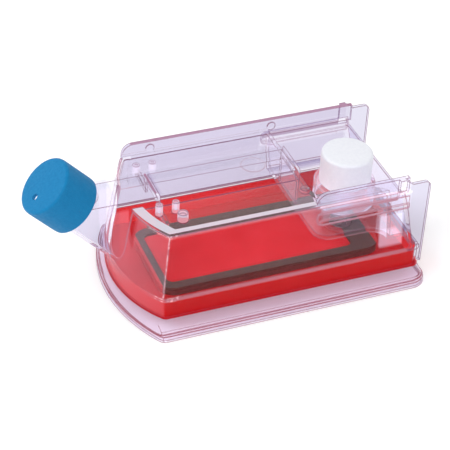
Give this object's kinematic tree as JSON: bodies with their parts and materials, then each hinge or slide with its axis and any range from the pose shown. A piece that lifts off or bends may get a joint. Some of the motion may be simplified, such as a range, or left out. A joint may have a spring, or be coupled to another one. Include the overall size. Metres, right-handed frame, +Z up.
{
  "type": "membrane cell culture flask",
  "caption": "Clear two-compartment cell culture flask lying on a stepped base, with an angled vented screw cap at the neck and an upright screw cap over the cell port.",
  "frame": {"origin": "middle of the base's footprint with both caps on, on the surface it stands on", "axes": "+X from the neck cap to the cell port, +Y to the full-length stacking fin, +Z up"},
  "size_m": [0.2825, 0.1372, 0.1153],
  "materials": {
    "clear_housing": "clear moulded polystyrene, slightly violet at the edges",
    "clear_base": "clear moulded polystyrene",
    "clear_port": "clear moulded polystyrene",
    "medium": "translucent red liquid",
    "dark_frame": "satin grey-green moulding",
    "upper_membrane": "thin milky film",
    "gas_membrane": "thin milky silicone sheet",
    "grid_plastic": "satin moulded grid",
    "seal_rubber": "soft silicone",
    "white_cap": "semi-gloss moulded polyethylene",
    "blue_cap": "semi-gloss moulded polyethylene",
    "cap_liner": "soft white foam liner",
    "vent_filter": "white filter membrane"
  },
  "bodies": {
    "flask": {"housing": "clear_housing", "base_frame": "clear_base", "support_grid": "grid_plastic", "gas_membrane": "gas_membrane", "chamber_ring": "dark_frame", "upper_membrane": "upper_membrane", "clamp_ring": "dark_frame", "culture_medium": "medium", "port_tube": "clear_port", "port_seal": "seal_rubber", "port_gasket": "seal_rubber"},
    "neck_insert": {"neck_cap_liner": "cap_liner", "vent_membrane": "vent_filter"},
    "neck_cap_shell": {"neck_cap": "blue_cap"},
    "port_insert": {"port_cap_liner": "cap_liner"},
    "port_cap_shell": {"port_cap": "white_cap"}
  },
  "joints": [
    {"name": "neck_cap_lift", "type": "slide", "parent": "flask", "child": "neck_insert", "axis": [-0.6947, 0, 0.7193], "range_m": [0, 0.0262]},
    {"name": "neck_cap_turn", "type": "hinge", "parent": "neck_insert", "child": "neck_cap_shell", "pos_m": [-0.1062, 0, 0.08], "axis": [-0.6947, 0, 0.7193], "range_deg": [0, 1170]},
    {"name": "port_cap_lift", "type": "slide", "parent": "flask", "child": "port_insert", "axis": [0, 0, 1], "range_m": [0, 0.0212]},
    {"name": "port_cap_turn", "type": "hinge", "parent": "port_insert", "child": "port_cap_shell", "pos_m": [0.0994, 0, 0.06], "axis": [0, 0, 1], "range_deg": [0, 1080]}
  ],
  "couplings": [
    {"joint": "neck_cap_lift", "follows": "neck_cap_turn", "m_per_rad": 0.0012732},
    {"joint": "port_cap_lift", "follows": "port_cap_turn", "m_per_rad": 0.0011141}
  ]
}
